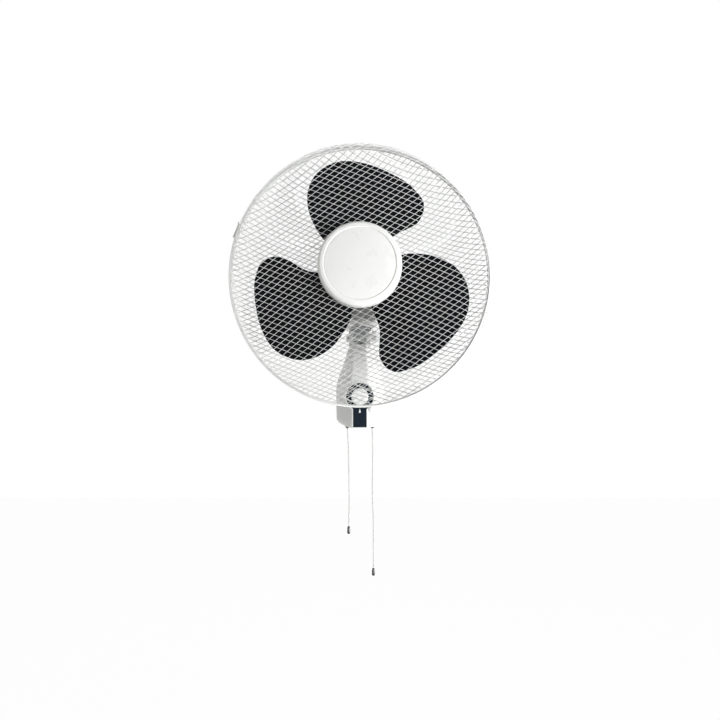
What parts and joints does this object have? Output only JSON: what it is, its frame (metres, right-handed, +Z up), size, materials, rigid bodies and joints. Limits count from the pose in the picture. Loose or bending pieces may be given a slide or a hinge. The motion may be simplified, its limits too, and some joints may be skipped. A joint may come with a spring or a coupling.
{
  "type": "wall mounted fan",
  "caption": "Wall fan with a round wire mesh guard, three leaf-shaped blades, a tilting and swinging head, a neck on a wall box and two pull cords.",
  "frame": {"origin": "middle of the wall plate's back face, on the wall", "axes": "+X to the viewer's right, -Y out from the wall towards the viewer, +Z up"},
  "size_m": [0.432, 0.328, 0.7418],
  "materials": {
    "white_plastic": "smooth moulded white plastic",
    "white_wire": "white powder coated steel wire",
    "blade_plastic": "charcoal plastic with a soft shine",
    "panel_plastic": "dark blue-black glossy plastic",
    "black_plastic": "black plastic",
    "pendant": "slim glossy black sleeve",
    "cast_metal": "die cast aluminium",
    "steel": "zinc plated steel",
    "laminations": "stacked steel sheet",
    "copper": "enamelled copper wire",
    "bronze": "sintered bronze",
    "cord": "thin braided white cord"
  },
  "bodies": {
    "wall": {"wall_plate": "steel", "housing_back": "white_plastic", "back_screw_1": "steel", "back_screw_2": "steel", "back_screw_3": "steel", "back_screw_4": "steel", "neck_housing": "white_plastic", "keyhole_panel": "panel_plastic", "panel_mark": "white_plastic", "tilt_bolt": "steel", "speed_switch": "black_plastic", "swing_switch": "black_plastic", "switch_plate": "steel", "run_capacitor": "black_plastic", "terminal_block": "white_plastic", "cable_gland": "black_plastic", "speed_eyelet": "black_plastic", "swing_eyelet": "black_plastic"},
    "tilt": {"tilt_bracket": "cast_metal", "swing_arm": "steel", "post_screw": "steel"},
    "head": {"front_guard": "white_wire", "rear_guard": "white_wire", "guard_hoop": "white_plastic", "left_clip_pin": "steel", "right_clip_pin": "steel", "rim_screw": "steel", "rim_nut": "steel", "guard_cap": "white_plastic", "cap_plate": "white_plastic", "cap_screw_left": "steel", "cap_screw_right": "steel", "stator": "laminations", "front_winding": "copper", "rear_winding": "copper", "front_bell": "cast_metal", "front_bush": "bronze", "rear_bell": "cast_metal", "rear_bush": "bronze", "motor_front_cover": "white_plastic", "motor_rear_cover": "white_plastic", "guard_nut": "black_plastic", "swing_motor": "steel"},
    "spinner": {"blade_wheel": "blade_plastic", "shaft": "steel", "drive_pin": "steel", "spinner_nut": "blade_plastic", "rotor": "laminations"},
    "crank": {"crank": "white_plastic"},
    "link": {"swing_link": "steel"},
    "left_clip": {"left_clip": "white_plastic"},
    "right_clip": {"right_clip": "white_plastic"},
    "knob": {"tilt_knob": "white_plastic"},
    "dial": {"speed_dial": "white_plastic"},
    "speed_pull": {"speed_cord": "cord", "speed_pendant": "pendant"},
    "swing_pull": {"swing_cord": "cord", "swing_pendant": "pendant"},
    "speed_lever": {"speed_switch_lever": "white_plastic"},
    "swing_lever": {"swing_switch_lever": "white_plastic"}
  },
  "joints": [
    {"name": "fan_tilt", "type": "hinge", "parent": "wall", "child": "tilt", "pos_m": [0, -0.14, 0.112], "axis": [1, 0, 0], "range_deg": [-10, 20]},
    {"name": "fan_swing", "type": "hinge", "parent": "tilt", "child": "head", "pos_m": [0, -0.14, 0.112], "axis": [0, 0, 1], "range_deg": [-40, 40]},
    {"name": "blade_spin", "type": "hinge", "parent": "head", "child": "spinner", "pos_m": [0, -0.26, 0.195], "axis": [0, 1, 0], "continuous": true},
    {"name": "crank_turn", "type": "hinge", "parent": "head", "child": "crank", "pos_m": [0.012, -0.116, 0.195], "axis": [0, 0, 1], "range_deg": [-90.5, 90.5]},
    {"name": "link_turn", "type": "hinge", "parent": "tilt", "child": "link", "pos_m": [0.012, -0.14, 0.195], "axis": [0, 0, 1], "range_deg": [-40.5, 40.5]},
    {"name": "left_clip_turn", "type": "hinge", "parent": "head", "child": "left_clip", "pos_m": [-0.199, -0.25, 0.28277], "axis": [0, 1, 0], "range_deg": [0, 70]},
    {"name": "right_clip_turn", "type": "hinge", "parent": "head", "child": "right_clip", "pos_m": [0.20886, -0.25, 0.13432], "axis": [0, -1, 0], "range_deg": [0, 70]},
    {"name": "tilt_knob_turn", "type": "hinge", "parent": "wall", "child": "knob", "pos_m": [0.026, -0.14, 0.112], "axis": [1, 0, 0], "range_deg": [-180, 180]},
    {"name": "speed_dial_turn", "type": "hinge", "parent": "wall", "child": "dial", "pos_m": [0, -0.16, 0.0026], "axis": [0, 1, 0], "continuous": true},
    {"name": "speed_pull", "type": "slide", "parent": "wall", "child": "speed_pull", "axis": [0, 0, -1], "range_m": [0, 0.012], "stiffness_N_per_m": 250},
    {"name": "swing_pull", "type": "slide", "parent": "wall", "child": "swing_pull", "axis": [0, 0, -1], "range_m": [0, 0.012], "stiffness_N_per_m": 250},
    {"name": "speed_lever_turn", "type": "hinge", "parent": "wall", "child": "speed_lever", "pos_m": [-0.0233, -0.104, -0.029], "axis": [1, 0, 0], "range_deg": [-0.5, 28.5]},
    {"name": "swing_lever_turn", "type": "hinge", "parent": "wall", "child": "swing_lever", "pos_m": [0.0233, -0.104, -0.029], "axis": [1, 0, 0], "range_deg": [-0.5, 28.5]}
  ],
  "couplings": [
    {"joint": "crank_turn", "follows": "fan_swing", "ratio": -2.25},
    {"joint": "link_turn", "follows": "fan_swing", "ratio": 1},
    {"joint": "speed_lever_turn", "follows": "speed_pull", "rad_per_m": 40.724},
    {"joint": "swing_lever_turn", "follows": "swing_pull", "rad_per_m": 40.724}
  ]
}
